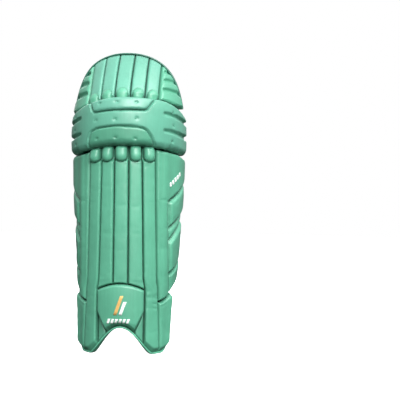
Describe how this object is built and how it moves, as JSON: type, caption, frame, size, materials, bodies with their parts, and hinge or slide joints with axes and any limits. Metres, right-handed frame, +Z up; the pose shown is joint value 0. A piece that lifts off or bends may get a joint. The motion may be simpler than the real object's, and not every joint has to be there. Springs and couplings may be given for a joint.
{
  "type": "cricket leg pad",
  "caption": "Cricket batting leg pad: caned shin front, padded knee roll, leaning top hat, arched instep, side wings and rear straps.",
  "frame": {"origin": "centre of the overall width and depth, at the level of the bottoms of the feet", "axes": "+Z up the leg towards the top hat, -Y out of the caned front, +Y out of the open back, +X to the right seen from the front"},
  "size_m": [0.2668, 0.2343, 0.675],
  "materials": {
    "cover": "smooth synthetic leather, mid sea green, soft sheen",
    "cover_top": "smooth synthetic leather, light mint green, soft sheen",
    "cover_shade": "smooth synthetic leather, deep green, soft sheen",
    "edge_binding": "narrow light green bound edge",
    "rim_binding": "narrow dark green bound edge",
    "backing": "green coated cloth over stiffened foam",
    "lining": "off-white woven cotton lining over padding",
    "webbing": "dark green strap fabric with loop face",
    "hook_tape": "black hook tape"
  },
  "bodies": {
    "shin": {"shin_board": "backing", "shin_cane_1": "cover", "shin_cane_2": "cover", "shin_cane_3": "cover", "shin_cane_4": "cover", "shin_cane_5": "cover", "side_roll_left": "cover", "side_roll_right": "cover", "ankle_panel_left": "cover", "ankle_panel_right": "cover", "instep_badge": "cover", "instep_gusset_left": "cover_shade", "instep_gusset_right": "cover_shade", "instep_binding": "edge_binding", "shin_lining": "lining", "strap_anchor_knee": "webbing", "strap_anchor_calf": "webbing", "strap_anchor_ankle": "webbing", "strap_landing_knee": "webbing", "strap_landing_calf": "webbing", "strap_landing_ankle": "webbing"},
    "knee": {"knee_board": "backing", "knee_roll": "cover", "knee_upper_panel": "cover", "knee_lower_panel": "cover", "knee_finger_1": "cover_top", "knee_finger_2": "cover_top", "knee_finger_3": "cover_top", "knee_finger_4": "cover_top", "knee_finger_5": "cover_top", "knee_cup": "lining"},
    "top_hat": {"top_board": "backing", "top_cane_1": "cover_top", "top_cane_2": "cover_top", "top_cane_3": "cover_top", "top_cane_4": "cover_top", "top_cane_5": "cover_top", "top_side_left": "cover_top", "top_side_right": "cover_top", "top_binding": "rim_binding"},
    "wing_left": {"wing_board_left": "backing", "wing_upper_left": "cover", "wing_diamond_left": "cover", "wing_strip_left": "cover", "wing_lower_left": "cover", "wing_bottom_left": "cover"},
    "wing_right": {"wing_board_right": "backing", "wing_upper_right": "cover", "wing_diamond_right": "cover", "wing_strip_right": "cover", "wing_lower_right": "cover", "wing_bottom_right": "cover"},
    "strap_knee": {"strap_knee": "webbing", "hook_patch_knee": "hook_tape"},
    "strap_calf": {"strap_calf": "webbing", "hook_patch_calf": "hook_tape"},
    "strap_ankle": {"strap_ankle": "webbing", "hook_patch_ankle": "hook_tape"}
  },
  "joints": [
    {"name": "knee_flex", "type": "hinge", "parent": "shin", "child": "knee", "pos_m": [0, 0.003, 0.446], "axis": [-1, 0, 0], "range_deg": [0, 10], "stiffness_Nm_per_rad": 6},
    {"name": "top_hat_flex", "type": "hinge", "parent": "knee", "child": "top_hat", "pos_m": [0, -0.012, 0.542], "axis": [-1, 0, 0], "range_deg": [0, 10], "stiffness_Nm_per_rad": 4},
    {"name": "wing_flex_right", "type": "hinge", "parent": "shin", "child": "wing_right", "pos_m": [0.09907, -0.01382, 0.15], "axis": [0.003, 0.0654, -0.9979], "range_deg": [0, 18], "stiffness_Nm_per_rad": 2},
    {"name": "wing_flex_left", "type": "hinge", "parent": "shin", "child": "wing_left", "pos_m": [-0.09907, -0.01382, 0.15], "axis": [0.003, -0.0654, 0.9979], "range_deg": [0, 18], "stiffness_Nm_per_rad": 2},
    {"name": "strap_open_knee", "type": "hinge", "parent": "shin", "child": "strap_knee", "pos_m": [0.10295, 0.06892, 0.398], "axis": [-0.0168, -0.0031, -0.9999], "range_deg": [0, 100]},
    {"name": "strap_open_calf", "type": "hinge", "parent": "shin", "child": "strap_calf", "pos_m": [0.099, 0.06623, 0.296], "axis": [-0.0578, -0.0453, -0.9973], "range_deg": [0, 100]},
    {"name": "strap_open_ankle", "type": "hinge", "parent": "shin", "child": "strap_ankle", "pos_m": [0.09332, 0.06023, 0.2], "axis": [-0.06, -0.0776, -0.9952], "range_deg": [0, 100]}
  ]
}
